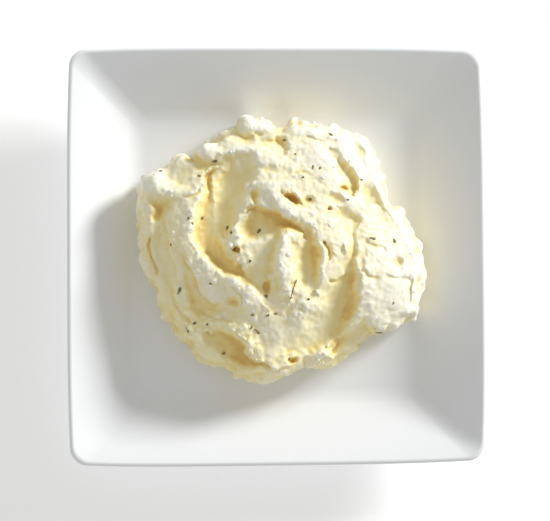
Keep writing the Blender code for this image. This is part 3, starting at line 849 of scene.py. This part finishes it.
crumbVerts, crumbFaces, crumbShade = makeCrumbs(crumbShape, points, normals, shade, rough)
crumbs = addMesh("potato_crumbs", (crumbVerts + toWorld) * mm, crumbFaces)
keepShade(crumbs, crumbShade)
surface = BVHTree.FromPolygons(verts.tolist(), [list(face) for face in faces])
herbVerts, herbFaces = makeHerbs(herbShape, surface)
herbs = addMesh("herb_flecks", (herbVerts + toWorld) * mm, herbFaces)
tidyDirections(herbs)
report(f"{crumbShape['count']} crumbs and {len(flecks)} flecks laid")


def newMaterial(name):
    material = bpy.data.materials.new(name)
    material.use_nodes = True
    tree = material.node_tree
    return material, tree, tree.nodes["Principled BSDF"]


def addNode(tree, kind, **values):
    node = tree.nodes.new(kind)
    for key, value in values.items():
        setattr(node, key, value)
    return node


def rampNode(tree, stops, source):
    node = addNode(tree, "ShaderNodeValToRGB")
    elements = node.color_ramp.elements
    while len(elements) < len(stops):
        elements.new(0.5)
    for element, (place, colour) in zip(elements, stops):
        element.position = place
        element.color = colour
    tree.links.new(source, node.inputs["Fac"])
    return node.outputs["Color"]


mashFinish = {
    # painted shade: the colour runs from crest through body and hollow to deep as the painted shade grows
    "crest": linear(254, 249, 229),
    "body": linear(254, 242, 196),
    "hollow": linear(251, 230, 156),
    "deep": linear(238, 206, 126),
    "stops": (0.12, 0.38, 0.72, 1.0),
    "spread": 1.2,              # how strongly the painted shade darkens and yellows the colour
    "plain": 0.14,              # colour of an open crest along the stops
    "cloud": (90, 3, 0.25),     # noise scale, detail and amount of the broad mottling
    "speckle": (380, 2, 0.22),
    "grain": (1500, 2),
    "bump": (0.15, 0.0002),
    "roughness": (0.42, 0.6),
    "specular": 0.5,
    "scatter": 0.2,
    "scatterRadius": (1.0, 0.7, 0.35),
    "scatterScale": 0.002,
}


def noiseNode(tree, place, scale, detail):
    node = addNode(tree, "ShaderNodeTexNoise")
    node.inputs["Scale"].default_value = scale
    node.inputs["Detail"].default_value = detail
    tree.links.new(place, node.inputs["Vector"])
    return node.outputs["Fac"]


def scaledSum(tree, value, gain, added=None, plain=0.0):
    # value times gain, plus another value or a plain number
    node = addNode(tree, "ShaderNodeMath", operation="MULTIPLY_ADD")
    node.inputs[1].default_value = gain
    node.inputs[2].default_value = plain
    tree.links.new(value, node.inputs[0])
    if added is not None:
        tree.links.new(added, node.inputs[2])
    return node.outputs[0]


def mashMaterial(f):
    material, tree, shader = newMaterial("creamed_potato")
    link = tree.links.new
    place = addNode(tree, "ShaderNodeTexCoord").outputs["Object"]
    # the painted shade kept on the mesh places the colour along the ramp
    depth = addNode(tree, "ShaderNodeAttribute", attribute_name="shade").outputs["Fac"]
    cloud = noiseNode(tree, place, *f["cloud"][:2])
    speckle = noiseNode(tree, place, *f["speckle"][:2])
    spread = scaledSum(tree, depth, f["spread"], plain=f["plain"])
    mottled = scaledSum(tree, cloud, f["cloud"][2], spread)
    mixed = scaledSum(tree, speckle, f["speckle"][2], mottled)
    colours = (f["crest"], f["body"], f["hollow"], f["deep"])
    link(rampNode(tree, tuple(zip(f["stops"], colours)), mixed), shader.inputs["Base Color"])
    wet = addNode(tree, "ShaderNodeMapRange")
    wet.inputs["To Min"].default_value = f["roughness"][0]
    wet.inputs["To Max"].default_value = f["roughness"][1]
    link(cloud, wet.inputs["Value"])
    link(wet.outputs["Result"], shader.inputs["Roughness"])
    bump = addNode(tree, "ShaderNodeBump")
    bump.inputs["Strength"].default_value = f["bump"][0]
    bump.inputs["Distance"].default_value = f["bump"][1]
    link(noiseNode(tree, place, *f["grain"]), bump.inputs["Height"])
    link(bump.outputs["Normal"], shader.inputs["Normal"])
    shader.inputs["Subsurface Weight"].default_value = f["scatter"]
    shader.inputs["Subsurface Radius"].default_value = f["scatterRadius"]
    shader.inputs["Subsurface Scale"].default_value = f["scatterScale"]
    shader.inputs["Specular IOR Level"].default_value = f["specular"]
    return material


porcelainFinish = {
    "glaze": linear(243, 245, 246),
    "roughness": 0.16,
    "bend": 1.5,
}


def porcelainMaterial(f):
    material, _, shader = newMaterial("white_porcelain")
    shader.inputs["Base Color"].default_value = f["glaze"]
    shader.inputs["Roughness"].default_value = f["roughness"]
    shader.inputs["IOR"].default_value = f["bend"]
    return material


herbFinish = {
    "dark": linear(124, 114, 78),
    "pale": linear(170, 154, 108),
    "stops": (0.35, 0.65),
    "mottle": (700, 2),         # noise scale and detail
    "roughness": 0.7,
    "specular": 0.3,
}


def herbMaterial(f):
    material, tree, shader = newMaterial("dried_herb")
    place = addNode(tree, "ShaderNodeTexCoord").outputs["Object"]
    mottle = noiseNode(tree, place, *f["mottle"])
    colour = rampNode(tree, tuple(zip(f["stops"], (f["dark"], f["pale"]))), mottle)
    tree.links.new(colour, shader.inputs["Base Color"])
    shader.inputs["Roughness"].default_value = f["roughness"]
    shader.inputs["Specular IOR Level"].default_value = f["specular"]
    return material


mashSkin = mashMaterial(mashFinish)
plate.data.materials.append(porcelainMaterial(porcelainFinish))
heap.data.materials.append(mashSkin)
crumbs.data.materials.append(mashSkin)
herbs.data.materials.append(herbMaterial(herbFinish))
for piece, slotName in ((crumbs, "potato"), (herbs, "herb")):
    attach(piece, "root")

for piece, node, slotName in ((plate, "plate", "porcelain"), (heap, "mash", "potato")):
    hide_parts(node)
    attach(piece, "root")


studio = {
    "tableColour": (0.94, 0.94, 0.935, 1),
    "tableGlow": 0.25,
    "tableHalf": 3.0,
    "tableGap": 0.0002,              # below the foot
    "tableRoughness": 0.9,
    "key": (3.25, 35, 18, 15),       # strength, azimuth from +X towards +Y, height and spread in degrees
    "fill": (0.14, 222, 38, 70),
    "ambient": 0.46,
    "cameraPlace": (-0.0265, -0.0169, 0.5682),
    "cameraTurn": (1.55, -2.63, -0.41),
    "lens": 83.6,
}


def makeTable(s):
    half = s["tableHalf"]
    corners = [(-half, -half, 0), (half, -half, 0), (half, half, 0), (-half, half, 0)]
    table = addMesh("table", corners, [(0, 1, 2, 3)], False)
    table.location.z = plateLow.z - s["tableGap"]
    material, _, shader = newMaterial("pale_table")
    shader.inputs["Base Color"].default_value = s["tableColour"]
    shader.inputs["Roughness"].default_value = s["tableRoughness"]
    shader.inputs["Specular IOR Level"].default_value = 0.0
    shader.inputs["Emission Color"].default_value = (1, 1, 0.985, 1)
    shader.inputs["Emission Strength"].default_value = s["tableGlow"]
    table.data.materials.append(material)


def makeLight(s):
    for name in ("key", "fill"):
        strength, azimuth, height, spread = s[name]
        lamp = bpy.data.lights.new(name, "SUN")
        lamp.energy = strength
        lamp.angle = math.radians(spread)
        light = bpy.data.objects.new(name, lamp)
        az, el = math.radians(azimuth), math.radians(height)
        toward = Vector((math.cos(el) * math.cos(az), math.cos(el) * math.sin(az), math.sin(el)))
        light.rotation_euler = toward.to_track_quat("Z", "Y").to_euler()
        bpy.context.scene.collection.objects.link(light)
    world = bpy.data.worlds.new("studio")
    world.use_nodes = True
    sky = world.node_tree.nodes["Background"]
    sky.inputs["Color"].default_value = (1, 1, 1, 1)
    sky.inputs["Strength"].default_value = s["ambient"]
    bpy.context.scene.world = world


def makeCamera(s):
    lens = bpy.data.cameras.new("camera")
    lens.lens = s["lens"]
    lens.sensor_width = 36
    camera = bpy.data.objects.new("camera", lens)
    camera.location = s["cameraPlace"]
    camera.rotation_euler = Euler([math.radians(a) for a in s["cameraTurn"]])
    bpy.context.scene.collection.objects.link(camera)
    bpy.context.scene.camera = camera


makeTable(studio)
makeLight(studio)
makeCamera(studio)
bpy.context.scene.view_settings.view_transform = "Standard"
report("table, light and camera set")
